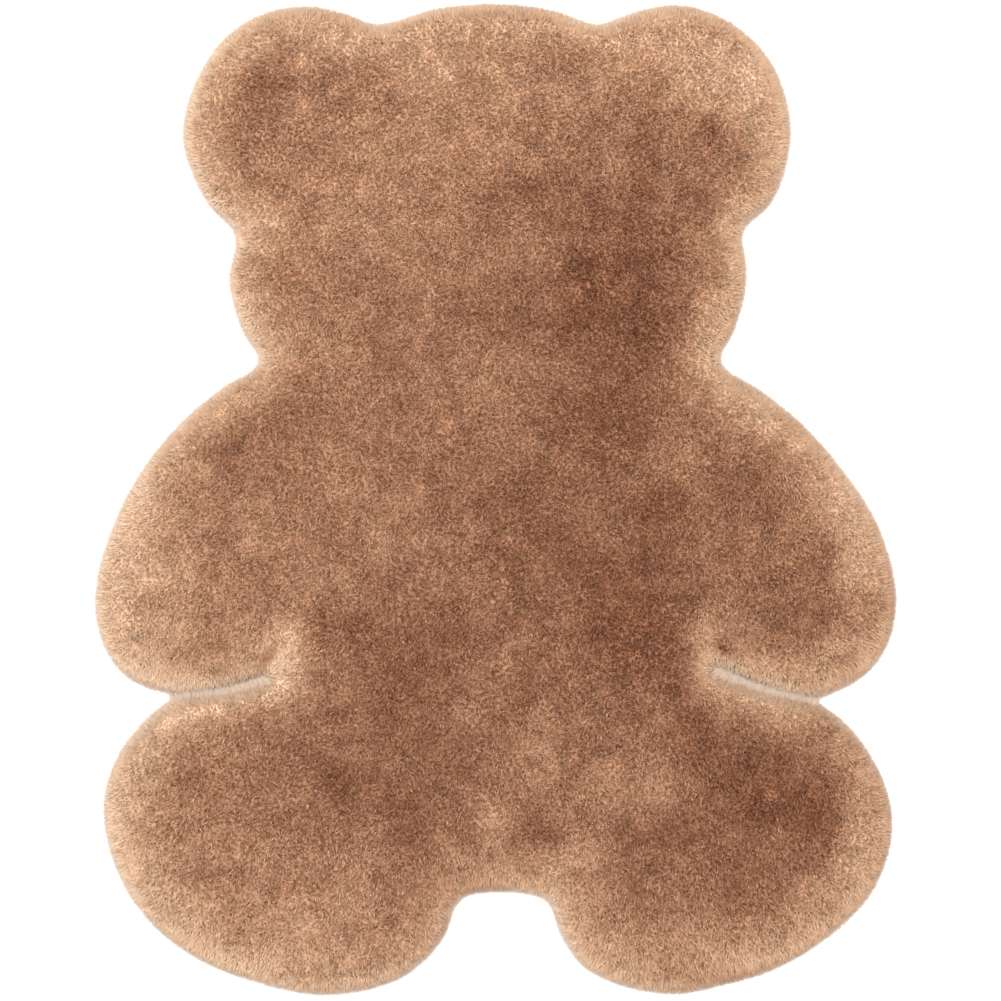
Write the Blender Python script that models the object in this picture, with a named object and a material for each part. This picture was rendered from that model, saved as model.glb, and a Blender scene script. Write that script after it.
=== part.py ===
# A bear shaped rug of short dense faux fur, lying flat.
#
# Metres, +Z up. +X runs across the arms and +Y from the feet to the head.
# The origin is the middle of the rug's box, on the floor that it lies on.
#
# The rug is one cut piece of pile cloth, so it is one solid: a low, lumpy slab
# with a flat underside, a rounded edge and small locks of pile round its rim.
# The arms are parted from the legs by two narrow slits.

import math
import random

import bmesh
import bpy
import numpy as np
from mathutils import Vector, noise
from mathutils.geometry import delaunay_2d_cdt

MM = 0.001

# Outline of the pile, in millimetres from the middle of the rug, going round
# the upper half from the left slit to the right one. Each row is one lobe or
# notch, and the curve runs smoothly through its points.
UPPER_OUTLINE = (
    ("left arm", ((-366, -183), (-391, -156), (-404, -104), (-383, -21), (-333, 60), (-277, 111))),
    ("left side of neck", ((-237, 138),)),
    ("left cheek", ((-255, 171), (-268, 222))),
    ("left ear root", ((-261, 269),)),
    ("left ear", ((-289, 298), (-315, 368), (-290, 445), (-248, 484), (-194, 498), (-150, 490))),
    ("left end of crown", ((-121, 479),)),
    ("crown", ((-60, 495), (5, 500), (60, 493))),
    ("right end of crown", ((104, 479),)),
    ("right ear", ((135, 490), (185, 499), (240, 480), (281, 437), (298, 373), (281, 303))),
    ("right ear root", ((248, 270),)),
    ("right cheek", ((252, 249), (253, 214), (240, 168))),
    ("right side of neck", ((226, 139),)),
    ("right arm", ((272, 107), (325, 60), (385, -24), (405, -104), (392, -155), (365, -183))),
)

# The same for the lower half, from the right slit round to the left one.
LOWER_OUTLINE = (
    ("right leg", ((352, -225), (388, -276), (401, -330), (385, -389), (345, -435), (281, -475))),
    ("right foot", ((234, -489), (185, -499), (136, -493), (90, -472), (65, -436))),
    ("right corner of crotch", ((55, -406),)),
    ("crotch", ((15, -396),)),
    ("left corner of crotch", ((-37, -404),)),
    ("left foot", ((-52, -442), (-95, -483), (-173, -500), (-254, -483))),
    ("left leg", ((-310, -458), (-354, -420), (-384, -369), (-395, -309), (-380, -258), (-343, -214))),
)
OUTLINE_STEP = 1.0 * MM

# Middle line of each slit, from its mouth to its inner end, in millimetres.
LEFT_SLIT = ((-318, -198), (-274, -193), (-230, -180))
RIGHT_SLIT = ((318, -202), (272, -191), (222, -171))
SLIT_MOUTH_WIDTH = 3.0 * MM
SLIT_END_WIDTH = 7.0 * MM
SLIT_END_STEPS = 6

# Edge of the pile. The widest row stands a little above the floor, the foot
# is drawn in under it, and the pile reaches its full height some way in.
PILE_HEIGHT = 25.0 * MM
WIDEST_HEIGHT = 8.0 * MM
FOOT_INSET = 7.0 * MM
SHOULDER_INSET = 34.0 * MM
SHOULDER_ROUNDNESS = 2.2

# Rows of points over the rounded edge: how far in, and one point kept of how many.
EDGE_ROWS = ((4.0 * MM, 1), (12.0 * MM, 2), (25.0 * MM, 3))
ROW_CLEARANCE = 0.8

# Locks of pile round the rim. They fade out in the slits, where the sides touch.
LOCK_PITCH = 15.0 * MM
LOCK_PITCH_SPREAD = 0.25
LOCK_REACH = 2.2 * MM
LOCK_REACH_SPREAD = 0.45
LOCK_POINTS = 3
LOCK_SPAN = 3.0 * MM
LOCK_DEPTH_ABOVE_RIM = 0.6
LOCK_SEED = 7
PLAIN_BY_SLIT = 6.0 * MM
FULL_LOCKS_BY_SLIT = 18.0 * MM

# Soft lumps where the pile leans together, on an even field of points.
LUMP_HEIGHT = 1.6 * MM
LUMP_LENGTH = 75.0 * MM
FIELD_PITCH = 21.0 * MM

MERGE_DISTANCE = 1e-7
PILE_COLOUR = (0.376, 0.178, 0.091)
PILE_ROUGHNESS = 0.95


def clear_scene():
    for thing in list(bpy.data.objects):
        bpy.data.objects.remove(thing, do_unlink=True)


def in_metres(points):
    return [np.array(point) * MM for point in points]


def lobe_points(outline):
    return [point for name, points in outline for point in in_metres(points)]


def slit_sides(slit):
    """Upper and lower side of a slit, each from its mouth to its inner end."""
    line = in_metres(slit)
    upper, lower = [], []
    for index, point in enumerate(line):
        along = line[min(index + 1, len(line) - 1)] - line[max(index - 1, 0)]
        upward = np.array((-along[1], along[0])) / np.linalg.norm(along)
        upward *= math.copysign(1.0, upward[1])
        share = index / (len(line) - 1)
        width = SLIT_MOUTH_WIDTH + share * (SLIT_END_WIDTH - SLIT_MOUTH_WIDTH)
        upper.append(point + upward * width / 2.0)
        lower.append(point - upward * width / 2.0)
    return upper, lower


def slit_end(start, finish):
    """Half circle round a slit's inner end, between its two sides."""
    centre = (start + finish) / 2.0
    arm = start - centre
    turn = math.copysign(1.0, arm[1] * centre[0])
    points = []
    for step in range(1, SLIT_END_STEPS):
        angle = turn * math.pi * step / SLIT_END_STEPS
        across = np.array((-arm[1], arm[0]))
        points.append(centre + arm * math.cos(angle) + across * math.sin(angle))
    return points


def smooth_run(points):
    """Centripetal Catmull-Rom curve through an open run of points."""
    ends = [2.0 * points[0] - points[1]] + points + [2.0 * points[-1] - points[-2]]
    curve = []
    for p0, p1, p2, p3 in zip(ends, ends[1:], ends[2:], ends[3:]):
        t1 = math.sqrt(np.linalg.norm(p1 - p0))
        t2 = t1 + math.sqrt(np.linalg.norm(p2 - p1))
        t3 = t2 + math.sqrt(np.linalg.norm(p3 - p2))
        count = max(1, round(np.linalg.norm(p2 - p1) / OUTLINE_STEP))
        for t in np.linspace(t1, t2, count, endpoint=False):
            a1 = (p0 * (t1 - t) + p1 * t) / t1
            a2 = (p1 * (t2 - t) + p2 * (t - t1)) / (t2 - t1)
            a3 = (p2 * (t3 - t) + p3 * (t - t2)) / (t3 - t2)
            b1 = (a1 * (t2 - t) + a2 * t) / t2
            b2 = (a2 * (t3 - t) + a3 * (t - t1)) / (t3 - t1)
            curve.append((b1 * (t2 - t) + b2 * (t - t1)) / (t2 - t1))
    curve.append(points[-1])
    return curve


def closed_outline():
    """The plain outline, clockwise, centred on its own box."""
    left_upper, left_lower = slit_sides(LEFT_SLIT)
    right_upper, right_lower = slit_sides(RIGHT_SLIT)
    upper = smooth_run(left_upper[::-1] + lobe_points(UPPER_OUTLINE) + right_upper)
    lower = smooth_run(right_lower[::-1] + lobe_points(LOWER_OUTLINE) + left_lower)
    right_end, left_end = slit_end(upper[-1], lower[0]), slit_end(lower[-1], upper[0])
    outline = np.array(upper + right_end + lower + left_end)
    return outline - (outline.min(axis=0) + outline.max(axis=0)) / 2.0


def distance_to_path(points, starts, ends):
    """Distance from each point to the nearest of a set of straight pieces."""
    nearest = np.full(len(points), np.inf)
    for start, end in zip(starts, ends):
        piece = end - start
        share = np.clip((points - start) @ piece / (piece @ piece), 0.0, 1.0)
        gap = np.linalg.norm(points - start - share[:, None] * piece, axis=1)
        nearest = np.minimum(nearest, gap)
    return nearest


def distance_to_loop(points, loop):
    return distance_to_path(points, loop, np.roll(loop, -1, axis=0))


def inside(points, loop):
    """Even-odd test of points against a closed loop."""
    crossings = np.zeros(len(points), dtype=int)
    x, y = points[:, 0], points[:, 1]
    for (x1, y1), (x2, y2) in zip(loop, np.roll(loop, -1, axis=0)):
        if y1 != y2:
            spans = (y1 > y) != (y2 > y)
            crossings += spans & (x < (x2 - x1) * (y - y1) / (y2 - y1) + x1)
    return crossings % 2 == 1


def lock_pitches(draw, perimeter):
    """Uneven widths of the locks, which fill the perimeter exactly."""
    pitches = []
    while sum(pitches) < perimeter:
        pitches.append(LOCK_PITCH * draw.uniform(1.0 - LOCK_PITCH_SPREAD, 1.0 + LOCK_PITCH_SPREAD))
    return np.array(pitches) * perimeter / sum(pitches)


def plain_share(points):
    """1 beside the slits, fading to 0 where the locks are full."""
    near = np.full(len(points), np.inf)
    for slit in (LEFT_SLIT, RIGHT_SLIT):
        line = np.array(in_metres(slit))
        near = np.minimum(near, distance_to_path(points, line[:-1], line[1:]))
    return np.clip((FULL_LOCKS_BY_SLIT - near) / (FULL_LOCKS_BY_SLIT - PLAIN_BY_SLIT), 0.0, 1.0)


def lock_points(outline):
    """Points round the outline, the way out at each, and how far each lies in."""
    draw = random.Random(LOCK_SEED)
    looped = np.vstack((outline, outline[:1]))
    reached = np.concatenate(([0.0], np.cumsum(np.linalg.norm(np.diff(looped, axis=0), axis=1))))
    perimeter = reached[-1]

    def place(distance):
        return np.array([np.interp(distance % perimeter, reached, column) for column in looped.T])

    places, ways, dips = [], [], []
    start = 0.0
    for pitch in lock_pitches(draw, perimeter):
        reach = LOCK_REACH * draw.uniform(1.0 - LOCK_REACH_SPREAD, 1.0)
        for index in range(LOCK_POINTS):
            share = index / LOCK_POINTS
            here = start + share * pitch
            along = place(here + LOCK_SPAN) - place(here - LOCK_SPAN)
            places.append(place(here))
            ways.append(np.array((-along[1], along[0])) / np.linalg.norm(along))
            dips.append(reach * (1.0 - math.sqrt(math.sin(math.pi * share))))
        start += pitch
    places = np.array(places)
    return places, np.array(ways), np.array(dips) * (1.0 - plain_share(places))


def inset_row(places, ways, insets, keep_every, rim):
    """Points inside the rim, without those that another stretch of rim crowds."""
    row = (places - ways * insets[:, None])[::keep_every]
    clear = distance_to_loop(row, rim) > ROW_CLEARANCE * insets[::keep_every]
    return row[clear & inside(row, rim)]


def field_points(rim):
    """Staggered points over the middle of the rug."""
    low, high = rim.min(axis=0), rim.max(axis=0)
    rise = FIELD_PITCH * math.sqrt(0.75)
    points = []
    for row, y in enumerate(np.arange(low[1], high[1], rise)):
        shift = FIELD_PITCH / 2.0 * (row % 2)
        points += [(x, y) for x in np.arange(low[0] + shift, high[0], FIELD_PITCH)]
    points = np.array(points)
    return points[(distance_to_loop(points, rim) > SHOULDER_INSET) & inside(points, rim)]


def pile_profile(inset):
    """Height of the pile at a distance in from the rim."""
    left = np.clip(1.0 - inset / SHOULDER_INSET, 0.0, 1.0)
    rise = (1.0 - left ** SHOULDER_ROUNDNESS) ** (1.0 / SHOULDER_ROUNDNESS)
    return WIDEST_HEIGHT + (PILE_HEIGHT - WIDEST_HEIGHT) * rise


def lumps(points, inset):
    """Gentle rises and dips, which fade out towards the rim."""
    heights = []
    for x, y in points:
        place = Vector((x, y, 0.0)) / LUMP_LENGTH
        heights.append(noise.noise(place) + 0.5 * noise.noise(2.0 * place))
    return LUMP_HEIGHT * np.clip(inset / SHOULDER_INSET, 0.0, 1.0) * np.array(heights)


def loop_edges(first, count):
    return [(first + index, first + (index + 1) % count) for index in range(count)]


def triangulated(points, edges):
    """Triangles inside the edges, through all the points, as rows of point numbers."""
    found = delaunay_2d_cdt([Vector(point) for point in points], edges, [], 1, MERGE_DISTANCE)
    faces, sources = found[2], found[3]
    return [[sources[corner][0] for corner in face] for face in faces]


def rug_shape():
    places, ways, dips = lock_points(closed_outline())
    rim = places - ways * dips[:, None]
    rows = []
    for inset, keep_every in EDGE_ROWS:
        insets = inset + dips * LOCK_DEPTH_ABOVE_RIM
        rows.append(inset_row(places, ways, insets, keep_every, rim))
    top = np.vstack(rows + [field_points(rim)])
    foot = inset_row(places, ways, np.full(len(places), FOOT_INSET), 1, rim)
    top_inset = distance_to_loop(top, rim)
    top_height = pile_profile(top_inset) + lumps(top, top_inset)

    rug = bmesh.new()
    rim_corners = [rug.verts.new((x, y, WIDEST_HEIGHT)) for x, y in rim]
    top_corners = [rug.verts.new((x, y, z)) for (x, y), z in zip(top, top_height)]
    foot_corners = [rug.verts.new((x, y, 0.0)) for x, y in foot]
    rim_edges = loop_edges(0, len(rim))
    foot_edges = loop_edges(len(rim), len(foot))
    for face in triangulated(np.vstack((rim, top)), rim_edges):
        rug.faces.new([(rim_corners + top_corners)[corner] for corner in face])
    for face in triangulated(np.vstack((rim, foot)), rim_edges + foot_edges):
        rug.faces.new([(rim_corners + foot_corners)[corner] for corner in reversed(face)])
    return rug


def pile_material():
    material = bpy.data.materials.new("brown_pile")
    material.use_nodes = True
    shader = material.node_tree.nodes["Principled BSDF"]
    shader.inputs["Base Color"].default_value = (*PILE_COLOUR, 1.0)
    shader.inputs["Roughness"].default_value = PILE_ROUGHNESS
    shader.inputs["Metallic"].default_value = 0.0
    return material


def main():
    clear_scene()
    shape = rug_shape()
    mesh = bpy.data.meshes.new("rug")
    shape.to_mesh(mesh)
    shape.free()
    mesh.materials.append(pile_material())
    mesh.shade_smooth()
    rug = bpy.data.objects.new("rug", mesh)
    bpy.context.scene.collection.objects.link(rug)


main()
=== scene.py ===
# Looks of the bear shaped rug: short dense brown fur over its knitted ground,
# lying on a pale floor under soft studio light. Metres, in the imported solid's frame.
import math

import bpy
import numpy as np
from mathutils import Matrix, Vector
from mathutils.bvhtree import BVHTree
from mathutils.geometry import delaunay_2d_cdt


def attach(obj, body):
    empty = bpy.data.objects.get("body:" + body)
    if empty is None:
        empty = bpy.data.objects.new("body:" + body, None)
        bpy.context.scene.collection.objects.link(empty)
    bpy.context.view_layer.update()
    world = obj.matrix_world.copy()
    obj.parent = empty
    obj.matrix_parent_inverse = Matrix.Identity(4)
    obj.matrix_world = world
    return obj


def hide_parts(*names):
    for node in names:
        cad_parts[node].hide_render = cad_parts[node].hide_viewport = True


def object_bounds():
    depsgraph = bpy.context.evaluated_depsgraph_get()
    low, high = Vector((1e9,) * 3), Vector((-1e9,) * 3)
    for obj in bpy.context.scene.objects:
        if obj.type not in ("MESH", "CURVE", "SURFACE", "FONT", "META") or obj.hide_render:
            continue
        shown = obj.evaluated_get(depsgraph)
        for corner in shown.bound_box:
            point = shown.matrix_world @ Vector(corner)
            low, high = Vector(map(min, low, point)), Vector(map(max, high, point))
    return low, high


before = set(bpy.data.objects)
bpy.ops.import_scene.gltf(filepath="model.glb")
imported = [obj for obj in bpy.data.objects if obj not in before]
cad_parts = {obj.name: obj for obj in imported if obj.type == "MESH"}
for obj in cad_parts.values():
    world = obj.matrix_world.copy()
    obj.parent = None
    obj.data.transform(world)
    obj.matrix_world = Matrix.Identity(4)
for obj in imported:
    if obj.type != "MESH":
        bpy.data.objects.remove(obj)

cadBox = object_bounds()
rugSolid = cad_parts["rug"]


# The rug's plan, on a grid: how far in from the rim, which way is out, how high the pile is

plan = {
    "step": 0.001,
    "margin": 0.012,
    "reach": 0.080,  # distances from the rim are kept up to this far in
    "loopRounds": 4,  # rounds of smoothing that take the solid's locks out of its rim
    "hairBeyond": 0.0012,  # the smoothed rim moves out by this, to the tips of the locks
    "slopeBlur": 0.0015,
    "heightStep": 0.004,
    "heightAtRim": 0.008,
    "readFrom": 0.010,  # rays start this far above the solid
}
noiseBlur = {
    # blurs of random fields, as shares of their wave
    "soft": 0.30,
    "dots": (0.16, 0.32),
}


def solidTriangles(thing):
    mesh = thing.data
    mesh.calc_loop_triangles()
    places = np.empty(len(mesh.vertices) * 3)
    mesh.vertices.foreach_get("co", places)
    corners = np.empty(len(mesh.loop_triangles) * 3, dtype=np.int32)
    mesh.loop_triangles.foreach_get("vertices", corners)
    welded, number = np.unique(places.reshape(-1, 3).round(6), axis=0, return_inverse=True)
    return welded, number.ravel()[corners].reshape(-1, 3)


def rimLoop(places, triangles):
    # the edges where faces that look up meet faces that look down, as one closed run
    a, b, c = (places[triangles[:, k]] for k in range(3))
    up = np.cross(b - a, c - a)[:, 2] > 0.0
    under = {(int(t[k]), int(t[(k + 1) % 3])) for t in triangles[~up] for k in range(3)}
    follow = {}
    for t in triangles[up]:
        for k in range(3):
            start, end = int(t[k]), int(t[(k + 1) % 3])
            if (end, start) in under:
                follow[start] = end
    first = next(iter(follow))
    run = [first]
    while follow[run[-1]] != first:
        run.append(follow[run[-1]])
    return places[run][:, :2]


def smoothedLoop(loop):
    for k in range(plan["loopRounds"]):
        loop = (np.roll(loop, 1, axis=0) + 2.0 * loop + np.roll(loop, -1, axis=0)) / 4.0
    along = np.roll(loop, -1, axis=0) - np.roll(loop, 1, axis=0)
    out = np.column_stack((along[:, 1], -along[:, 0])) / np.linalg.norm(along, axis=1)[:, None]
    return loop + plan["hairBeyond"] * out, out


def insetField(loop, low, shape):
    step, reach = plan["step"], plan["reach"]
    rows, columns = shape
    near = np.full(shape, reach)
    turns = np.zeros((rows, columns + 1), dtype=np.int32)
    for (x1, y1), (x2, y2) in zip(loop, np.roll(loop, -1, axis=0)):
        left = max(int((min(x1, x2) - reach - low[0]) / step), 0)
        right = min(int((max(x1, x2) + reach - low[0]) / step) + 2, columns)
        bottom = max(int((min(y1, y2) - reach - low[1]) / step), 0)
        top = min(int((max(y1, y2) + reach - low[1]) / step) + 2, rows)
        x = low[0] + step * np.arange(left, right)[None, :] - x1
        y = low[1] + step * np.arange(bottom, top)[:, None] - y1
        dx, dy = x2 - x1, y2 - y1
        share = np.clip((x * dx + y * dy) / (dx * dx + dy * dy), 0.0, 1.0)
        gap = np.hypot(x - share * dx, y - share * dy)
        near[bottom:top, left:right] = np.minimum(near[bottom:top, left:right], gap)
        first = math.ceil((min(y1, y2) - low[1]) / step)
        crossed = np.arange(first, math.ceil((max(y1, y2) - low[1]) / step))
        if len(crossed):
            where = x1 + dx * (low[1] + crossed * step - y1) / dy
            turns[crossed, np.ceil((where - low[0]) / step).astype(int)] += 1
    inside = np.cumsum(turns, axis=1)[:, :columns] % 2 == 1
    return np.where(inside, near, -near)


def blurred(field, sigma):
    rows, columns = field.shape
    ky = np.fft.fftfreq(rows, plan["step"])[:, None]
    kx = np.fft.rfftfreq(columns, plan["step"])[None, :]
    keep = np.exp(-2.0 * (math.pi * sigma) ** 2 * (kx * kx + ky * ky))
    return np.fft.irfft2(np.fft.rfft2(field) * keep, s=field.shape)


def softNoise(wave, seed):
    # an even random field with a spread of 1, whose lumps are about wave across
    field = blurred(np.random.default_rng(seed).standard_normal(planShape), noiseBlur["soft"] * wave)
    return (field - field.mean()) / field.std()


def dotNoise(wave, seed):
    # the same with dots about wave apart
    noise = np.random.default_rng(seed).standard_normal(planShape)
    fine, coarse = noiseBlur["dots"]
    field = blurred(noise, fine * wave) - blurred(noise, coarse * wave)
    return field / field.std()


def heightField(places, triangles):
    # the solid's own top, read from above on a coarse grid
    tree = BVHTree.FromPolygons([Vector(p) for p in places], triangles.tolist())
    rows, columns = (int(size * plan["step"] / plan["heightStep"]) + 2 for size in planShape)
    above, down = cadBox[1][2] + plan["readFrom"], Vector((0.0, 0.0, -1.0))
    coarse = np.full((rows, columns), plan["heightAtRim"])
    for row in range(rows):
        for column in range(columns):
            x = planLow[0] + column * plan["heightStep"]
            y = planLow[1] + row * plan["heightStep"]
            hit = tree.ray_cast(Vector((x, y, above)), down)[0]
            if hit is not None:
                coarse[row, column] = hit.z
    return coarse


def sampled(field, x, y, step):
    # reads a field between its grid points
    column = np.clip((x - planLow[0]) / step, 0.0, field.shape[1] - 1.001)
    row = np.clip((y - planLow[1]) / step, 0.0, field.shape[0] - 1.001)
    c, r = column.astype(int), row.astype(int)
    fc, fr = column - c, row - r
    upper = field[r + 1, c] * (1.0 - fc) + field[r + 1, c + 1] * fc
    return (field[r, c] * (1.0 - fc) + field[r, c + 1] * fc) * (1.0 - fr) + upper * fr


solidPlaces, solidFaces = solidTriangles(rugSolid)
hairRim, rimOut = smoothedLoop(rimLoop(solidPlaces, solidFaces))
planLow = hairRim.min(axis=0) - plan["margin"]
planSize = hairRim.max(axis=0) + plan["margin"] - planLow
planShape = (int(planSize[1] / plan["step"]) + 1, int(planSize[0] / plan["step"]) + 1)
inset = insetField(hairRim, planLow, planShape)
slopeY, slopeX = np.gradient(blurred(inset, plan["slopeBlur"]), plan["step"])
slope = np.hypot(slopeX, slopeY) + 1e-6
outX, outY = -slopeX / slope, -slopeY / slope
pileHeight = heightField(solidPlaces, solidFaces)
print("plan read from the solid:", planShape, "grid points")


def insetAt(x, y):
    return sampled(inset, x, y, plan["step"])


def heightAt(x, y):
    return sampled(pileHeight, x, y, plan["heightStep"])


# Tone of the fur over the rug: pale where it turns down at the rim, partly the hair's own paler tips and
# partly painted light, and patches of painted light and shade where the pile was brushed

tone = {
    "middle": 0.33,
    "rimPale": 0.49,  # how much lighter the rim is, partly paler tips and partly painted light
    "rimLitFromLeft": 0.10,  # and painted light that makes it more so where it faces left, toward the light
    "rimWidthHead": 0.034,
    "rimWidthBody": 0.040,
    "neck": 0.17,  # the head begins here, over a stretch as long as neckBlend
    "neckBlend": 0.1,
    "rimFall": 1.50,
    "edgePale": -0.18,  # the last of the hair is less pale, save where it faces left and keeps more painted light
    "edgeLitFromLeft": 0.25,
    "edgeWidth": 0.006,
    "patch": 0.24,  # a full patch shifts the tone by this
    "patchFall": 0.9,
    "cloud": 0.025,
    "cloudWave": 0.030,
}

# Patches of painted light and shade: where the pile was brushed or pressed another way it takes the
# light differently, and at the rims the patches add painted light. Place of the middle and half sizes in
# millimetres, turn in degrees, and from -1, darkest, to 1, lightest.
brushedLightAndShade = (
    # the head lighter and the right of the trunk and legs darker: painted light falling from the top
    # left
    ("whole head", -20, 370, 330, 120, 0, 0.4),
    ("trunk and legs, right", 140, -230, 250, 260, 0, -0.28),
    ("left ear, outer side", -238, 425, 20, 16, 0, -0.4),
    ("left ear, side", -250, 396, 24, 18, 0, -0.5),
    ("left ear, middle", -205, 398, 26, 16, 0, 0.35),
    ("left ear, to the crown", -172, 415, 52, 15, 0, -0.3),
    ("left ear, lower side", -208, 347, 42, 15, 0, -0.2),
    ("crown, left", -51, 428, 50, 34, 0, 0.55),
    ("crown, middle", 20, 462, 30, 16, 0, 0.6),
    ("crown, right", 90, 458, 48, 18, 0, -0.3),
    ("crown, lower right", 32, 418, 34, 16, 0, 0.45),
    ("crown, far left", -185, 458, 45, 16, 0, 0.6),
    ("brow", -36, 363, 55, 38, 0, 0.15),
    ("brow, right", 42, 368, 30, 18, 0, -0.35),
    ("bridge", 18, 312, 50, 26, 0, -0.55),
    ("right eye", 92, 337, 20, 22, 0, -0.3),
    ("left temple", -137, 287, 55, 50, 0, 0.45),
    ("left cheek, rim", -212, 272, 26, 30, 0, 0.4),
    ("left cheek, inner side", -88, 215, 22, 22, 0, 0.4),
    ("left jaw", -165, 158, 45, 28, 0, 0.3),
    ("right ear, inner streak", 149, 355, 15, 48, 0, -0.8),
    ("right ear, upper side", 212, 368, 30, 15, 0, -0.6),
    ("right ear, outer side", 241, 346, 22, 26, 0, -0.7),
    ("right ear, top", 205, 435, 60, 34, -15, 1.2),
    ("right ear, rim", 256, 372, 28, 52, 0, 0.9),
    ("right ear, root", 150, 306, 16, 16, 0, -0.45),
    ("right ear, lower side", 212, 306, 20, 16, 0, -0.45),
    ("right temple", 116, 288, 78, 34, 0, -0.5),
    ("right cheek, rim", 212, 162, 18, 50, 0, 0.9),
    ("right cheek, upper rim", 240, 246, 18, 46, 0, 0.55),
    ("muzzle", 25, 262, 28, 24, 0, 0.35),
    ("right cheek", 120, 220, 60, 46, 0, -1.05),
    ("right jaw", 151, 176, 46, 36, 0, -0.4),
    ("chin", 70, 172, 34, 30, 0, -0.5),
    ("chin, left", 2, 182, 26, 22, 0, -0.5),
    ("throat", -6, 130, 36, 38, 0, 0.3),
    ("throat, right", 58, 125, 34, 20, 0, 0.5),
    ("neck, right", 116, 92, 50, 48, 0, -1.0),
    ("right shoulder", 162, 32, 40, 18, 10, 0.65),
    ("right shoulder, rim", 270, 88, 30, 26, -20, 1.1),
    ("right arm, upper", 272, 15, 20, 30, 0, -0.4),
    ("left shoulder", -238, 75, 62, 20, 25, -0.45),
    ("left shoulder, neck", -210, 126, 26, 16, 0, -0.6),
    ("left arm, inner side", -162, 29, 22, 36, 0, 0.35),
    ("left arm, middle", -250, -31, 60, 34, 0, 0.35),
    ("left arm, outer side", -300, -82, 50, 34, 0, 0.25),
    ("left arm, lower", -305, -132, 60, 20, 0, 0.4),
    ("left arm, rim", -354, -80, 44, 78, 0, 0.8),
    ("right arm, rim", 352, -10, 24, 60, 0, 1.0),
    ("right arm, lower rim", 352, -80, 20, 40, 0, 0.6),
    ("right arm, underside", 262, -148, 34, 15, 10, -0.45),
    ("left arm, streak", -276, -26, 13, 34, 0, -0.45),
    ("chest", 25, -21, 50, 56, 0, -0.35),
    ("chest, upper", 15, 4, 52, 16, 0, -0.35),
    ("left side, upper", -122, -30, 22, 26, 0, 0.35),
    ("left side, lower", -165, -86, 34, 22, 0, 0.4),
    ("right side, upper", 156, -16, 28, 46, 0, -0.95),
    ("right side, spot", 121, -26, 16, 16, 0, 0.5),
    ("right side, lower", 146, -122, 46, 44, 0, -0.9),
    ("right side, inner", 95, -72, 38, 60, 0, -0.5),
    ("right arm, middle", 237, -36, 17, 32, 0, -0.35),
    ("right arm, outer side", 328, -51, 24, 28, 0, -0.35),
    ("right arm, lower", 345, -114, 36, 15, 10, -0.5),
    ("right arm, end", 338, -150, 20, 18, 0, 0.9),
    ("left hip", -147, -127, 50, 18, 0, -0.45),
    ("belly, upper", -31, -142, 62, 34, 0, -0.5),
    ("left leg, top", -235, -228, 44, 24, 0, -0.45),
    ("left leg, upper rim", -320, -212, 50, 20, 20, 0.7),
    ("left leg, at the slit", -275, -201, 52, 10, 11, 0.9),
    ("left leg, rim", -348, -272, 36, 56, 0, 0.7),
    ("left foot, side", -330, -390, 44, 26, -30, 0.6),
    ("belly, left", -90, -200, 46, 50, -40, -0.65),
    ("belly, middle", -25, -215, 24, 36, 0, 0.55),
    ("belly, navel", -2, -164, 36, 26, 0, 0.5),
    ("belly, right of the middle", 30, -206, 15, 18, 0, -0.6),
    ("belly, low", -32, -272, 18, 22, 0, -0.45),
    ("belly, lower", 40, -258, 26, 40, 0, 0.6),
    ("right thigh", 130, -286, 54, 36, 0, 0.75),
    ("right thigh, top", 202, -230, 38, 24, -30, -0.75),
    ("right thigh, over", 168, -206, 26, 16, 0, 0.5),
    ("right leg, middle", 267, -294, 52, 46, 0, -0.8),
    ("right leg, outer side", 318, -325, 24, 28, 0, -0.65),
    ("right leg, rim", 364, -345, 18, 46, 0, 0.8),
    ("right foot, upper", 264, -390, 34, 22, 0, -0.4),
    ("right leg, lower", 150, -338, 50, 15, 0, -0.5),
    ("between the legs", 45, -336, 24, 14, 15, -0.7),
    ("between the legs, left", 0, -328, 20, 26, 0, 0.8),
    ("between the legs, right", 84, -350, 36, 30, 0, 0.7),
    ("crotch", -15, -390, 50, 16, 0, -0.6),
    ("left leg, middle", -147, -289, 34, 22, 0, -0.6),
    ("left leg, inner edge", -92, -300, 18, 20, 0, -0.4),
    ("left leg, outer side", -213, -297, 24, 22, 0, 0.45),
    ("left leg, inner side", -95, -344, 22, 44, 30, -0.45),
    ("left leg, lower", -220, -385, 80, 42, 0, 0.3),
    ("left foot, upper", -302, -358, 22, 18, 0, 0.6),
    ("left foot, middle", -213, -356, 20, 15, 0, 0.45),
    ("left foot, inner side", -122, -364, 22, 20, 0, 0.5),
    ("left foot, inner rim", -98, -420, 15, 16, 0, -0.5),
    # pale inner ends of the slits: painted light for the lit floor that shows through the hair; the
    # creases beside them: painted shade
    ("left slit, end", -213, -164, 15, 32, -15, 1.6),
    ("left slit, above", -214, -120, 18, 24, 0, 0.6),
    ("left slit, crease", -230, -162, 5, 12, -30, -1.8),
    ("right slit, end", 216, -150, 13, 30, 10, 0.9),
    ("right slit, beyond the end", 182, -180, 17, 30, 0, -0.8),
    ("right slit, crease", 229, -150, 6, 12, 30, -1.6),
    ("right leg, at the slit", 273, -200, 52, 10, -14, 0.8),
    ("left foot", -196, -425, 90, 24, 0, 0.6),
    ("left foot, rim", -180, -462, 95, 18, 0, 0.35),
    ("right foot", 205, -440, 85, 24, 0, 0.5),
    ("right foot, outer side", 318, -392, 34, 22, 30, 0.55),
    # painted shade along the rim that faces down, away from the light
    ("right foot, rim", 225, -484, 70, 10, 0, -0.8),
)


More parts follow.
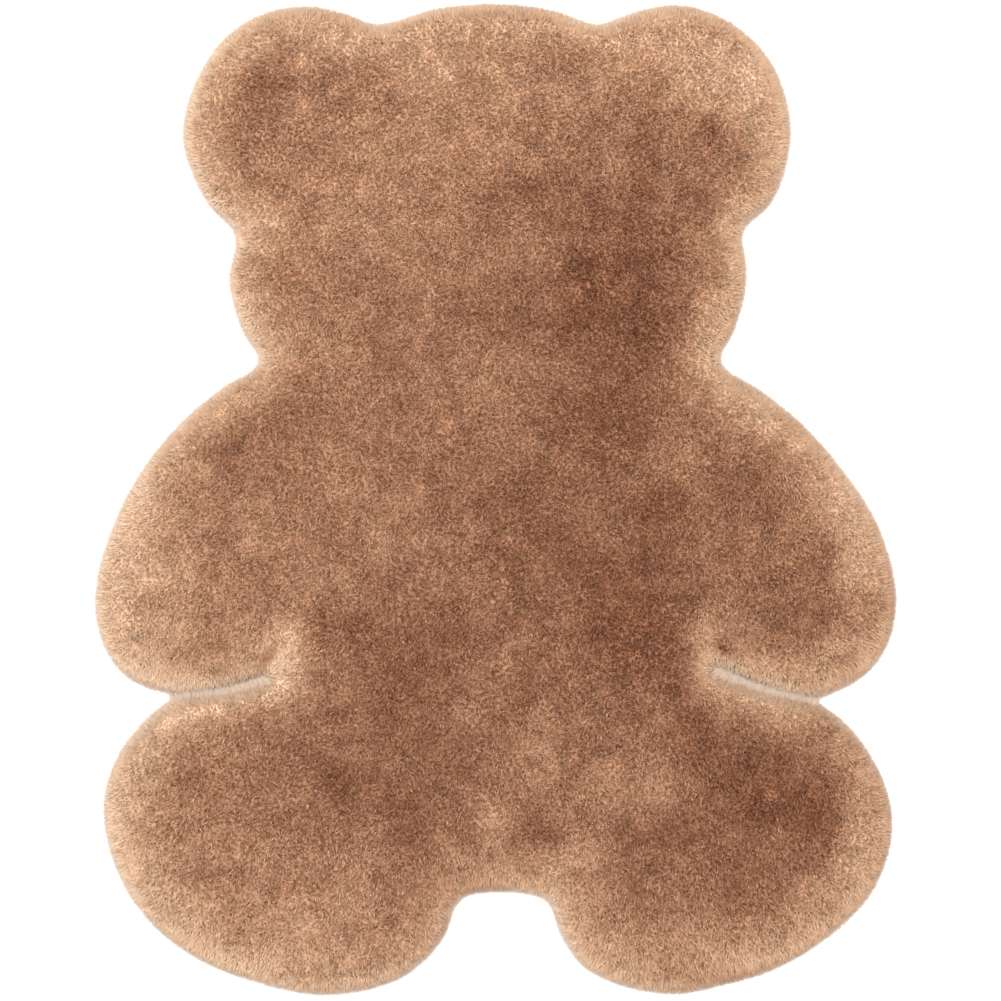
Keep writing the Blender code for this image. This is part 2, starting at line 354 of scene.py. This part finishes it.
# The slits between arm and leg. Toward the inner end the leg's pile stands back from the cut,
# and the pale hair at its foot, pale with painted light, lies across under the arm's
slits = {
    "ends": ((-0.213, -0.170), (0.211, -0.168)),
    "endReach": 0.036,
    "across": 0.007,  # a rim with pile this far beyond it belongs to a slit
    "bare": 0.0075,  # how far the leg's pile stands back, more and less by these shares
    "bareSpread": (0.3, 1.2),
    "fingers": 0.35,
    "fingerWave": 0.009,
    "legTurn": 2.0,  # how soon a rim counts as the leg's as it turns toward the head
}


def inSlit(x, y, ways, deep):
    # which places lie at a slit, and how near each is to its inner end
    across = deep + slits["across"]
    at = insetAt(x + ways[0] * across, y + ways[1] * across) > 0.0
    gaps = [np.hypot(x - endX, y - endY) for endX, endY in slits["ends"]]
    return at, np.exp(-((np.minimum(*gaps) / slits["endReach"]) ** 2))


def onLeg(outwardY):
    return np.clip(slits["legTurn"] * outwardY, 0.0, 1.0)


def toneField():
    rows, columns = planShape
    x = planLow[0] + plan["step"] * np.arange(columns)[None, :]
    y = planLow[1] + plan["step"] * np.arange(rows)[:, None]
    onHead = np.clip((y - tone["neck"]) / tone["neckBlend"] + 0.5, 0.0, 1.0)
    width = tone["rimWidthBody"] + (tone["rimWidthHead"] - tone["rimWidthBody"]) * onHead
    # the pale rim, partly paler tips and partly painted light, with more painted light where it faces
    # left
    pale = tone["rimPale"] - tone["rimLitFromLeft"] * outX
    deep = np.maximum(inset, 0.0)
    field = tone["middle"] + pale * np.exp(-((deep / width) ** tone["rimFall"]))
    # painted light at the very edge where it faces left
    edge = tone["edgePale"] + tone["edgeLitFromLeft"] * np.maximum(-outX, 0.0)
    field += edge * np.exp(-((deep / tone["edgeWidth"]) ** 2))
    # the patches paint light and shade into the tone
    for name, px, py, across, along, turn, amount in brushedLightAndShade:
        angle = math.radians(turn)
        u = (x - px / 1000.0) * math.cos(angle) + (y - py / 1000.0) * math.sin(angle)
        v = (y - py / 1000.0) * math.cos(angle) - (x - px / 1000.0) * math.sin(angle)
        spread = (u * 1000.0 / across) ** 2 + (v * 1000.0 / along) ** 2
        field += tone["patch"] * amount * np.exp(-tone["patchFall"] * spread)
    return field + tone["cloud"] * softNoise(tone["cloudWave"], 11)


toneOfFur = toneField()
print("tone of the fur laid out:", len(brushedLightAndShade), "brushed patches")


# Materials

pileColours = {
    # along the tone: darkest, for painted shade, brown, light brown, and the pale rim, partly painted
    # light
    "stops": ((0.0, (0.235, 0.095, 0.050)), (0.25, (0.344, 0.154, 0.084)), (0.50, (0.566, 0.342, 0.212)),
              (0.75, (0.700, 0.495, 0.335)), (1.0, (0.800, 0.620, 0.460))),
    "rootShade": (0.78, 0.62, 0.50),  # painted shade: shares of the tip's colour at the root, warm, for the shade deep in the pile
    "shadeEnds": 0.50,  # and this far along it the painted shade has gone
}
rimColours = {
    "stops": ((0.45, (0.42, 0.305, 0.225)), (1.0, (0.60, 0.475, 0.380))),
    # painted shade at the roots of the rim hair
    "rootShade": (0.84, 0.79, 0.75),
    "shadeEnds": 0.60,
}
deepColours = {
    "stops": ((0.0, (0.285, 0.126, 0.066)), (0.30, (0.366, 0.194, 0.114)), (0.50, (0.512, 0.302, 0.188)),
              (0.70, (0.630, 0.426, 0.284)), (1.0, (0.750, 0.555, 0.415))),
    # painted shade of the dots in the gaps between tufts
    "fleckShade": (0.60, 0.40, 0.27),
}
hairFinish = {
    "roughness": 0.80,
    "gloss": 0.15,
}
deepFinish = {
    "roughness": 0.95,
    "gloss": 0.1,
    "fleckScale": 340.0,
    "fleckDetail": 1.0,
    "fleckEdge": (0.32, 0.50),  # the noise makes a dot of painted shade below the first, and none above the second
    "fewerTones": (0.40, 0.80),  # the dots of painted shade fade between these tones, from the first share to the second
    "fewerShares": (1.0, 0.12),
    "bump": 0.6,
    "bumpDepth": 0.002,
}
knit = {
    "dark": (0.26, 0.135, 0.075),
    "light": (0.46, 0.275, 0.175),
    "roughness": 0.9,
    "gloss": 0.2,
    "ribScale": 95.0,
    "ribWaver": 0.6,
    "waverScale": 3.0,
    "bump": 0.4,
    "bumpDepth": 0.0006,
}


def setStops(ramp, stops):
    made = ramp.color_ramp.elements
    while len(made) < len(stops):
        made.new(0.5)
    for stop, (position, colour) in zip(made, stops):
        stop.position = position
        stop.color = (*colour, 1.0)


def hairMaterial(name, colours):
    # U of the map is the hair's tone and V runs from its root to its tip
    material = bpy.data.materials.new(name)
    material.use_nodes = True
    nodes, links = material.node_tree.nodes, material.node_tree.links
    shader = nodes["Principled BSDF"]
    shader.inputs["Roughness"].default_value = hairFinish["roughness"]
    shader.inputs["Specular IOR Level"].default_value = hairFinish["gloss"]
    place = nodes.new("ShaderNodeUVMap")
    place.uv_map = "OFBake"
    apart = nodes.new("ShaderNodeSeparateXYZ")
    links.new(place.outputs["UV"], apart.inputs[0])
    ramp = nodes.new("ShaderNodeValToRGB")
    setStops(ramp, colours["stops"])
    links.new(apart.outputs["X"], ramp.inputs["Fac"])
    # painted shade toward the root of each hair
    shade = nodes.new("ShaderNodeValToRGB")
    setStops(shade, ((0.0, colours["rootShade"]), (colours["shadeEnds"], (1.0, 1.0, 1.0))))
    links.new(apart.outputs["Y"], shade.inputs["Fac"])
    mixed = nodes.new("ShaderNodeMix")
    mixed.data_type = "RGBA"
    mixed.blend_type = "MULTIPLY"
    mixed.inputs["Factor"].default_value = 1.0
    links.new(ramp.outputs["Color"], mixed.inputs["A"])
    links.new(shade.outputs["Color"], mixed.inputs["B"])
    links.new(mixed.outputs["Result"], shader.inputs["Base Color"])
    return material


def deepMaterial():
    # the thick of the pile under the tips, with dots of painted shade for the gaps between tufts, fading
    # out toward the pale rim
    material = bpy.data.materials.new("deep pile")
    material.use_nodes = True
    nodes, links = material.node_tree.nodes, material.node_tree.links
    shader = nodes["Principled BSDF"]
    shader.inputs["Roughness"].default_value = deepFinish["roughness"]
    shader.inputs["Specular IOR Level"].default_value = deepFinish["gloss"]
    place = nodes.new("ShaderNodeTexCoord")
    flecks = nodes.new("ShaderNodeTexNoise")
    flecks.inputs["Scale"].default_value = deepFinish["fleckScale"]
    flecks.inputs["Detail"].default_value = deepFinish["fleckDetail"]
    links.new(place.outputs["Object"], flecks.inputs["Vector"])
    ramp = nodes.new("ShaderNodeValToRGB")
    setStops(ramp, deepColours["stops"])
    toned = nodes.new("ShaderNodeAttribute")
    toned.attribute_name = "tone"
    links.new(toned.outputs["Fac"], ramp.inputs["Fac"])
    # painted shade in dots
    shade = nodes.new("ShaderNodeValToRGB")
    dotted, plain = deepFinish["fleckEdge"]
    setStops(shade, ((dotted, deepColours["fleckShade"]), (plain, (1.0, 1.0, 1.0))))
    links.new(flecks.outputs["Fac"], shade.inputs["Fac"])
    mixed = nodes.new("ShaderNodeMix")
    mixed.data_type = "RGBA"
    mixed.blend_type = "MULTIPLY"
    fewer = nodes.new("ShaderNodeMapRange")
    for k, end in enumerate(("Min", "Max")):
        fewer.inputs["From " + end].default_value = deepFinish["fewerTones"][k]
        fewer.inputs["To " + end].default_value = deepFinish["fewerShares"][k]
    links.new(toned.outputs["Fac"], fewer.inputs["Value"])
    links.new(fewer.outputs["Result"], mixed.inputs["Factor"])
    links.new(ramp.outputs["Color"], mixed.inputs["A"])
    links.new(shade.outputs["Color"], mixed.inputs["B"])
    links.new(mixed.outputs["Result"], shader.inputs["Base Color"])
    bump = nodes.new("ShaderNodeBump")
    bump.inputs["Strength"].default_value = deepFinish["bump"]
    bump.inputs["Distance"].default_value = deepFinish["bumpDepth"]
    links.new(flecks.outputs["Fac"], bump.inputs["Height"])
    links.new(bump.outputs["Normal"], shader.inputs["Normal"])
    return material


def knitMaterial():
    # fine warp knit of the ground, seen from below
    material = bpy.data.materials.new("knitted ground")
    material.use_nodes = True
    nodes, links = material.node_tree.nodes, material.node_tree.links
    shader = nodes["Principled BSDF"]
    shader.inputs["Roughness"].default_value = knit["roughness"]
    shader.inputs["Specular IOR Level"].default_value = knit["gloss"]
    place = nodes.new("ShaderNodeTexCoord")
    ribs = nodes.new("ShaderNodeTexWave")
    ribs.wave_profile = "SIN"
    ribs.inputs["Scale"].default_value = knit["ribScale"]
    ribs.inputs["Distortion"].default_value = knit["ribWaver"]
    ribs.inputs["Detail Scale"].default_value = knit["waverScale"]
    links.new(place.outputs["Object"], ribs.inputs["Vector"])
    ramp = nodes.new("ShaderNodeValToRGB")
    setStops(ramp, ((0.0, knit["dark"]), (1.0, knit["light"])))
    links.new(ribs.outputs["Fac"], ramp.inputs["Fac"])
    links.new(ramp.outputs["Color"], shader.inputs["Base Color"])
    bump = nodes.new("ShaderNodeBump")
    bump.inputs["Strength"].default_value = knit["bump"]
    bump.inputs["Distance"].default_value = knit["bumpDepth"]
    links.new(ribs.outputs["Fac"], bump.inputs["Height"])
    links.new(bump.outputs["Normal"], shader.inputs["Normal"])
    return material


def dressed(piece, material):
    piece.data.materials.append(material)
    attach(piece, "root")
    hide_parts("rug")
    return piece


# Ground cloth and the deep pile on it

ground = {
    "inset": 0.009,  # the hair hides the cut edge of the cloth
    "thickness": 0.0022,
    "pitch": 0.02,
    "margin": 0.03,  # the grid of points keeps this far in from the rim
}
deepPile = {
    "edgeRows": (0.0085, 0.0105, 0.014, 0.020, 0.028),  # distance in from the hair's rim
    "below": 0.0085,  # how far it lies under the tips of the hair
    "least": 0.0032,
    "overGround": 0.0002,
    "rise": 0.006,  # it rises to its height over this stretch
    "riseFall": 0.7,
    "pitch": 0.008,
    "margin": 0.006,  # the grid of points keeps this far in from the last row
    "lump": 0.0007,
    "lumpWave": 0.012,
}
crowded = 0.9  # a point of a row nearer to the rim than this share of its distance is left out


def insetLoop(distance):
    # the hair's rim moved in, without points that another stretch of rim crowds
    loop = hairRim - rimOut * distance
    clear = insetAt(loop[:, 0], loop[:, 1]) > crowded * distance
    return loop[clear]


def filledLoops(loops, others):
    points = np.vstack(loops + [others]) if len(others) else np.vstack(loops)
    count = len(loops[0])
    edges = [(k, (k + 1) % count) for k in range(count)]
    found = delaunay_2d_cdt([Vector(p) for p in points], edges, [], 1, 1e-7)
    return points, [[found[3][corner][0] for corner in face] for face in found[2]]


def closedSlab(name, points, faces, topHeights, bottomHeight, edgeCount):
    # the top as given, the same faces turned over for the bottom, and a wall between
    count = len(points)
    top = np.column_stack((points, topHeights))
    bottom = np.column_stack((points, np.full(count, bottomHeight)))
    wall = [(k, (k + 1) % edgeCount) for k in range(edgeCount)]
    sides = [(b, a, a + count, b + count) for a, b in wall]
    under = [[corner + count for corner in reversed(face)] for face in faces]
    mesh = bpy.data.meshes.new(name)
    mesh.from_pydata(np.vstack((top, bottom)).tolist(), [], [list(f) for f in faces] + under + sides)
    mesh.validate()
    mesh.shade_smooth()
    piece = bpy.data.objects.new(name, mesh)
    bpy.context.scene.collection.objects.link(piece)
    return piece


def fieldPoints(pitch, margin):
    xs = np.arange(planLow[0], planLow[0] + planSize[0], pitch)
    ys = np.arange(planLow[1], planLow[1] + planSize[1], pitch * math.sqrt(0.75))
    x, y = np.meshgrid(xs, ys)
    x[1::2] += pitch / 2.0
    points = np.column_stack((x.ravel(), y.ravel()))
    return points[insetAt(points[:, 0], points[:, 1]) > margin]


def makeGround():
    loop = insetLoop(ground["inset"])
    points, faces = filledLoops([loop], fieldPoints(ground["pitch"], ground["margin"]))
    heights = np.full(len(points), ground["thickness"])
    cloth = closedSlab("groundCloth", points, faces, heights, 0.0, len(loop))
    return dressed(cloth, knitMaterial())


def makeDeepPile():
    rows = deepPile["edgeRows"]
    loops = [insetLoop(distance) for distance in rows]
    points, faces = filledLoops(loops, fieldPoints(deepPile["pitch"], rows[-1] + deepPile["margin"]))
    x, y = points.T
    deep = insetAt(x, y)
    heights = heightAt(x, y) - deepPile["below"]
    heights += deepPile["lump"] * sampled(softNoise(deepPile["lumpWave"], 21), x, y, plan["step"])
    rise = np.clip((deep - rows[0]) / deepPile["rise"], 0.0, 1.0) ** deepPile["riseFall"]
    heights = deepPile["least"] + (np.maximum(heights, deepPile["least"]) - deepPile["least"]) * rise
    underside = ground["thickness"] + deepPile["overGround"]
    body = closedSlab("deepPile", points, faces, heights, underside, len(loops[0]))
    tones = np.clip(sampled(toneOfFur, x, y, plan["step"]), 0.0, 1.0).astype(np.float32)
    toned = body.data.attributes.new("tone", "FLOAT", "POINT")
    toned.data.foreach_set("value", np.concatenate((tones, tones)))
    return dressed(body, deepMaterial())


groundPiece = makeGround()
deepPiece = makeDeepPile()
print("ground cloth and deep pile made:", len(deepPiece.data.polygons), "faces")


# Hair on top, in small tufts. Each hair is one long thin triangle from a root in the deep
# pile to its tip, and the hairs of a tuft lean together

topHair = {
    "tuftPitch": 0.00185,
    "hairsEach": 4,
    "width": (0.0012, 0.0019),
    "rootBelow": (0.0090, 0.0115),  # height of the root under the tip
    "tipShort": 0.0014,  # tips of tufts end up to this far under the pile's own top
    "hairShort": 0.10,  # a hair is shorter than its tuft by up to this share
    "shortFall": 1.5,  # the higher, the fewer are short
    "tipSpread": 0.00045,
    "rootSpread": 0.0012,
    "leanFeet": (0.03, 0.07),  # nap towards the feet, at the head and at the feet
    "leanBrush": 0.08,
    "brushWave": 0.045,
    "leanClump": 0.06,
    "clumpWave": 0.0080,
    "leanTuft": 0.38,
    "leanRim": 1.25,  # how far the hair leans out at the rim
    "leanRimWidth": 0.011,
    "rollOver": 0.35,
    "rimRootLight": 0.60,  # less painted root shade near the rim: roots there are as light as this far up other hairs
    "rimRootWidth": 0.026,
    "rimTufts": 0.95,  # share of more tufts close to the rim, and how far in they go
    "rimTuftsWidth": 0.009,
    "thinWidth": 0.0030,  # the tufts thin out over this last stretch
    "thinFall": 2.0,
    "paleShare": 0.60,  # hairs at the very rim that have the pale rim's colour, and how far in
    "paleWidth": 0.0030,
    "rimRise": 0.006,  # the pile reaches its height this far in from its widest line
    "rimRound": 0.45,
    "twist": 0.10,
    "rimCalm": 0.70,  # the fur is this much more even beside the rim, and how far in
    "rimCalmWidth": 0.045,
    "toneDots": 0.13,  # dots of painted shade where the tips part and lighter ones where they meet, how deep and how far apart they are
    "dotDeep": 0.0010,
    "dotWave": 0.0049,
    "dotSkew": 0.15,  # the dark dots are fewer and darker than the light ones are light
    "leastTone": 0.1,  # share of the dots and tufts that is left where the hair lies outward
    "toneTuft": 0.04,
    "tuftSkew": 0.6,
    "toneHair": 0.02,
}
rimHair = {
    "count": 120000,
    "width": (0.0008, 0.0013),
    "rootInset": 0.0090,
    "clear": 0.75,  # a root nearer to a rim than this share of the inset is left out
    "rootHeight": (0.0030, 0.0075),
    "least": 0.0008,  # height that no tip goes below
    "angle": (-14.0, 22.0),  # degrees above the floor, from the lowest hair to the highest
    "length": (0.0074, 0.0122),
    "lengthFall": 1.7,  # the higher, the fewer are long
    "faceOut": 0.5,
    "toneInset": 0.001,
    "toneStray": 0.12,
    "overSlit": 0.0050,  # the leg's hair is longer at a slit and reaches under the arm's
    "lowInSlit": 0.25,
    # painted light on the leg's hair at a slit, for the lit floor in the gap, and painted shade on the
    # arm's, under its edge
    "slitPaintedLight": 0.30,
    "slitPaintedShade": 0.05,
    "stray": 0.16,
    "twist": 0.30,
}
hairMap = {
    "edge": 0.002,  # the map keeps this far in from its border
    "cell": 0.012,  # and each hair is this wide on it
}
hairPieces = ("hairFeet", "hairLegs", "hairBelly", "hairChest", "hairHead")  # from the feet up


def hairMesh(name, roots, tips, width, side, out, tones, rootV):
    # roots, tips, side and out are rows of x, y, z. out is the way the face should look
    half = side * width[:, None] / 2.0
    left, right = roots - half, roots + half
    facing = np.einsum("ij,ij->i", np.cross(right - left, tips - left), out) < 0.0
    left[facing], right[facing] = right[facing].copy(), left[facing].copy()
    count = len(roots)
    mesh = bpy.data.meshes.new(name)
    mesh.vertices.add(3 * count)
    mesh.vertices.foreach_set("co", np.stack((left, right, tips), axis=1).astype(np.float32).ravel())
    mesh.loops.add(3 * count)
    mesh.loops.foreach_set("vertex_index", np.arange(3 * count, dtype=np.int32))
    mesh.polygons.add(count)
    mesh.polygons.foreach_set("loop_start", np.arange(0, 3 * count, 3, dtype=np.int32))
    layer = mesh.uv_layers.new(name="OFBake")
    edge, cell = hairMap["edge"], hairMap["cell"]
    u = edge + np.clip(tones, 0.0, 1.0) * (1.0 - 2.0 * edge - cell)
    places = np.zeros((count, 3, 2), dtype=np.float32)
    places[:, 0, 0], places[:, 1, 0], places[:, 2, 0] = u, u + cell, u + cell / 2.0
    places[:, 0, 1] = places[:, 1, 1] = edge + rootV
    places[:, 2, 1] = 1.0 - edge
    layer.data.foreach_set("uv", places.ravel())
    mesh.update()
    mesh.validate()
    piece = bpy.data.objects.new(name, mesh)
    bpy.context.scene.collection.objects.link(piece)
    return piece


def unit(rows):
    return rows / np.maximum(np.linalg.norm(rows, axis=1), 1e-9)[:, None]


def between(draw, limits, count):
    return draw.uniform(limits[0], limits[1], count)


def disc(draw, radius, count):
    angle = draw.uniform(0.0, 2.0 * math.pi, count)
    reach = radius * np.sqrt(draw.random(count))
    return reach * np.cos(angle), reach * np.sin(angle)


def makeTopHair():
    draw = np.random.default_rng(31)
    pitch = topHair["tuftPitch"]
    xs = np.arange(planLow[0], planLow[0] + planSize[0], pitch)
    ys = np.arange(planLow[1], planLow[1] + planSize[1], pitch)
    x, y = (grid.ravel() for grid in np.meshgrid(xs, ys))
    x = x + draw.uniform(-0.5, 0.5, len(x)) * pitch
    y = y + draw.uniform(-0.5, 0.5, len(y)) * pitch
    more = draw.random(len(x)) < topHair["rimTufts"] * (insetAt(x, y) < topHair["rimTuftsWidth"])
    x = np.concatenate((x, x[more] + draw.uniform(-0.5, 0.5, more.sum()) * pitch))
    y = np.concatenate((y, y[more] + draw.uniform(-0.5, 0.5, more.sum()) * pitch))
    deep = insetAt(x, y)
    outWays = [sampled(field, x, y, plan["step"]) for field in (outX, outY)]
    atSlit, nearEnd = inSlit(x, y, outWays, deep)
    fingers = 1.0 + slits["fingers"] * sampled(softNoise(slits["fingerWave"], 71), x, y, plan["step"])
    bare = slits["bare"] * fingers * nearEnd * onLeg(outWays[1])
    thinned = topHair["thinWidth"] * draw.random(len(x)) ** topHair["thinFall"]
    inside = deep > np.where(atSlit, bare * between(draw, slits["bareSpread"], len(x)), thinned)
    x, y, deep, outWays = x[inside], y[inside], deep[inside], [way[inside] for way in outWays]
    tufts = len(x)

    def noisePair(wave, seed):
        return [sampled(softNoise(wave, seed + k), x, y, plan["step"]) for k in (0, 1)]

    # how each tuft leans, as steps in x and y for each step up
    brush = noisePair(topHair["brushWave"], 41)
    clump = noisePair(topHair["clumpWave"], 43)
    toRim = topHair["leanRim"] * np.exp(-deep / topHair["leanRimWidth"])
    free = 1.0 / (1.0 + toRim)  # other leans give way where the rim turns the hair out
    atFeet = np.clip((planLow[1] + planSize[1] - y) / planSize[1], 0.0, 1.0)
    nap = topHair["leanFeet"][0] + (topHair["leanFeet"][1] - topHair["leanFeet"][0]) * atFeet
    stray = disc(draw, topHair["leanTuft"], tufts)
    leans = []
    for axis in (0, 1):
        lean = topHair["leanBrush"] * brush[axis] + topHair["leanClump"] * clump[axis]
        lean += stray[axis] - (nap if axis == 1 else 0.0)
        leans.append(lean * free + toRim * outWays[axis])

    tones = sampled(toneOfFur, x, y, plan["step"])
    calm = 1.0 - topHair["rimCalm"] * np.exp(-((deep / topHair["rimCalmWidth"]) ** 2))
    steady = calm * (topHair["leastTone"] + (1.0 - topHair["leastTone"]) * free)
    dots = sampled(dotNoise(topHair["dotWave"], 51), x, y, plan["step"])
    # painted shade where the tips part
    tones += topHair["toneDots"] * (dots - topHair["dotSkew"] * (dots * dots - 1.0)) * steady
    skewed = draw.random(tufts) ** topHair["tuftSkew"] - 1.0 / (1.0 + topHair["tuftSkew"])
    tones += 2.0 * topHair["toneTuft"] * skewed * steady
    risen = np.clip(deep / topHair["rimRise"], 0.0, 1.0)
    shift = topHair["rimRise"] * (1.0 - risen)
    full = heightAt(x - outWays[0] * shift, y - outWays[1] * shift)
    tipHeight = plan["heightAtRim"] + (full - plan["heightAtRim"]) * risen ** topHair["rimRound"]
    tipHeight -= topHair["tipShort"] * calm * draw.random(tufts) ** topHair["shortFall"]
    tipHeight -= topHair["dotDeep"] * np.maximum(-dots, 0.0) * steady
    drop = np.minimum(between(draw, topHair["rootBelow"], tufts), tipHeight - ground["thickness"])
    tuftTips = np.column_stack((x, y, tipHeight))
    axes = np.column_stack((leans[0] * drop, leans[1] * drop, drop))
    bend = topHair["rollOver"] * toRim  # the pile's surface turns over at the rim
    up = np.column_stack((outWays[0] * bend, outWays[1] * bend, np.ones(tufts)))

    # its hairs
    own = np.repeat(np.arange(tufts), topHair["hairsEach"])
    count = len(own)
    shorter = topHair["hairShort"] * draw.random(count) ** topHair["shortFall"]
    tips = tuftTips[own] - axes[own] * shorter[:, None]
    roots = tuftTips[own] - axes[own]
    for ends, radius in ((tips, topHair["tipSpread"]), (roots, topHair["rootSpread"])):
        shiftX, shiftY = disc(draw, radius, count)
        ends[:, 0] += shiftX
        ends[:, 1] += shiftY
    side = unit(np.cross(tips - roots, up[own])) + topHair["twist"] * draw.standard_normal((count, 3))
    tones = tones[own] + topHair["toneHair"] * draw.uniform(-1.0, 1.0, count)
    # near the rim the roots start further up the painted root shade, so they are lighter
    rootV = topHair["rimRootLight"] * np.exp(-((deep[own] / topHair["rimRootWidth"]) ** 2))
    pale = draw.random(count) < topHair["paleShare"] * np.exp(-deep[own] / topHair["paleWidth"])
    rows = (roots, tips, between(draw, topHair["width"], count), unit(side), up[own], tones, rootV)
    return [row[~pale] for row in rows], [row[pale] for row in rows]


def makeRimHair():
    draw = np.random.default_rng(61)
    looped = np.vstack((hairRim, hairRim[:1]))
    reached = np.concatenate(([0.0], np.cumsum(np.linalg.norm(np.diff(looped, axis=0), axis=1))))
    place = draw.uniform(0.0, reached[-1], rimHair["count"])
    ways = np.vstack((rimOut, rimOut[:1]))
    x, y = (np.interp(place, reached, looped[:, k]) for k in (0, 1))
    out = unit(np.column_stack([np.interp(place, reached, ways[:, k]) for k in (0, 1)]))
    atSlit = inSlit(x, y, out.T, 0.0)[0]
    legSide = atSlit * onLeg(out[:, 1])
    low = rimHair["lowInSlit"]
    rise = draw.random(rimHair["count"]) * np.where(atSlit, low + (1.0 - low) * legSide, 1.0)
    angle = np.radians(rimHair["angle"][0] + (rimHair["angle"][1] - rimHair["angle"][0]) * rise)
    height = rimHair["rootHeight"][0] + (rimHair["rootHeight"][1] - rimHair["rootHeight"][0]) * rise
    foot = np.column_stack((x, y)) - out * rimHair["rootInset"]
    roots = np.column_stack((foot, height))
    way = np.column_stack((out * np.cos(angle)[:, None], np.sin(angle)))
    way = unit(way + rimHair["stray"] * draw.standard_normal(way.shape))
    shortest, longest = rimHair["length"]
    length = shortest + (longest - shortest) * draw.random(len(x)) ** rimHair["lengthFall"]
    length += rimHair["overSlit"] * legSide
    tips = roots + way * length[:, None]
    tips[:, 2] = np.maximum(tips[:, 2], rimHair["least"])
    clear = insetAt(roots[:, 0], roots[:, 1]) > rimHair["clear"] * rimHair["rootInset"]
    up = np.column_stack((out * np.cos(angle)[:, None] * rimHair["faceOut"], np.ones(len(x))))
    side = unit(unit(np.cross(way, up)) + rimHair["twist"] * draw.standard_normal(way.shape))
    width = between(draw, rimHair["width"], len(x))
    seen = np.column_stack((x, y)) - out * rimHair["toneInset"]
    tones = sampled(toneOfFur, seen[:, 0], seen[:, 1], plan["step"])
    tones += rimHair["toneStray"] * draw.standard_normal(len(x))
    # painted light on the leg's side of a slit and painted shade on the arm's
    tones += rimHair["slitPaintedLight"] * legSide - rimHair["slitPaintedShade"] * (atSlit - legSide)
    return [rows[clear] for rows in (roots, tips, width, side, up, tones, np.zeros(len(x)))]


def makeHair():
    # the top's hairs are shared out from the feet up so that every piece stays small
    rows, paleRows = makeTopHair()
    order = np.argsort(rows[1][:, 1])
    material = hairMaterial("brown pile hair", pileColours)
    pieces = []
    for name, share in zip(hairPieces, np.array_split(order, len(hairPieces))):
        pieces.append(dressed(hairMesh(name, *(row[share] for row in rows)), material))
        print(name, "made:", len(share), "hairs")
    rows = [np.concatenate(pair) for pair in zip(makeRimHair(), paleRows)]
    pieces.append(dressed(hairMesh("hairRim", *rows), hairMaterial("pale rim hair", rimColours)))
    print("hairRim made:", len(rows[0]), "hairs")
    return pieces


hair = makeHair()


# Floor, light and camera

studio = {
    "floorSize": 7.0,
    "floorColour": (0.93, 0.93, 0.93),
    "floorRoughness": 0.9,
    "floorBelow": 0.0004,
    "skyStrength": 1.03,
    "lampPower": 172.0,
    "lampSize": 3.2,
    "lampPlace": (0.0, 0.9, 2.7),
    "photoPixels": 1001.0,
    "rugPixels": 990.0,  # the rug's length in the photograph
    "rugMiddle": (495.5, 499.0),
    "lens": 100.0,
    "sensor": 36.0,
}


def makeStudio():
    mesh = bpy.data.meshes.new("floor")
    half = studio["floorSize"] / 2.0
    corners = [(-half, -half), (half, -half), (half, half), (-half, half)]
    mesh.from_pydata([(x, y, -studio["floorBelow"]) for x, y in corners], [], [(0, 1, 2, 3)])
    floor = bpy.data.objects.new("floor", mesh)
    bpy.context.scene.collection.objects.link(floor)
    material = bpy.data.materials.new("pale floor")
    material.use_nodes = True
    shader = material.node_tree.nodes["Principled BSDF"]
    shader.inputs["Base Color"].default_value = (*studio["floorColour"], 1.0)
    shader.inputs["Roughness"].default_value = studio["floorRoughness"]
    mesh.materials.append(material)

    world = bpy.data.worlds.new("studio")
    bpy.context.scene.world = world
    world.use_nodes = True
    sky = world.node_tree.nodes["Background"]
    sky.inputs["Color"].default_value = (1.0, 1.0, 1.0, 1.0)
    sky.inputs["Strength"].default_value = studio["skyStrength"]

    lamp = bpy.data.lights.new("overhead lamp", "AREA")
    lamp.shape = "SQUARE"
    lamp.size = studio["lampSize"]
    lamp.energy = studio["lampPower"]
    holder = bpy.data.objects.new("overhead lamp", lamp)
    holder.location = studio["lampPlace"]
    holder.rotation_euler = (-Vector(studio["lampPlace"])).to_track_quat("-Z", "Y").to_euler()
    bpy.context.scene.collection.objects.link(holder)


def makeCamera():
    # straight down, with the rug where the photograph has it
    metresPerPixel = (cadBox[1][1] - cadBox[0][1]) / studio["rugPixels"]
    across = studio["photoPixels"] * metresPerPixel
    middle = studio["photoPixels"] / 2.0
    x = (middle - studio["rugMiddle"][0]) * metresPerPixel
    y = (studio["rugMiddle"][1] - middle) * metresPerPixel
    seen = bpy.data.cameras.new("camera")
    seen.lens = studio["lens"]
    seen.sensor_width = studio["sensor"]
    camera = bpy.data.objects.new("camera", seen)
    distance = across * studio["lens"] / studio["sensor"]
    camera.location = (x, y, plan["heightAtRim"] + distance)
    bpy.context.scene.collection.objects.link(camera)
    bpy.context.scene.camera = camera


makeStudio()
makeCamera()
bpy.context.scene.view_settings.view_transform = "Standard"
print("floor, light and camera set")
